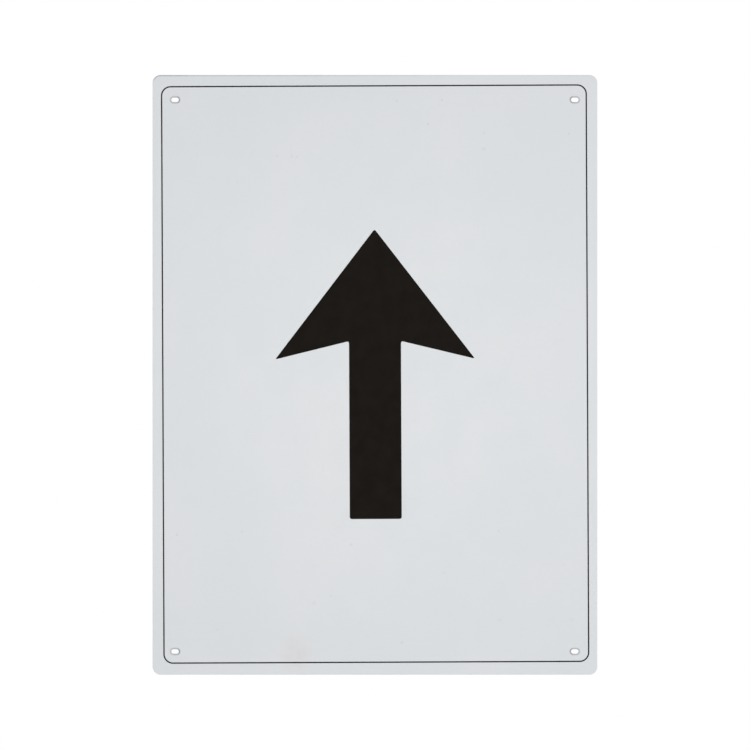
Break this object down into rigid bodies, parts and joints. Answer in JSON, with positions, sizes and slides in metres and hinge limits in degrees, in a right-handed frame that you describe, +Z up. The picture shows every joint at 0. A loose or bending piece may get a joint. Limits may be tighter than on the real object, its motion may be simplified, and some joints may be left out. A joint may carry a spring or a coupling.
{
  "type": "enter only sign",
  "caption": "Flat upright sheet-metal traffic sign with rounded corners, a rolled-over edge, slotted fixing holes near the corners and a thin printed border line.",
  "frame": {"origin": "centre of the sheet's back face", "axes": "+Z up the sheet's height, +X to the right as seen from the front, the printed face looks towards -Y"},
  "size_m": [0.445, 0.0013, 0.6],
  "materials": {
    "coated_sheet": "satin",
    "print": "satin"
  },
  "bodies": {
    "root": {"sign_plate": "coated_sheet", "border_line": "print"}
  },
  "joints": []
}
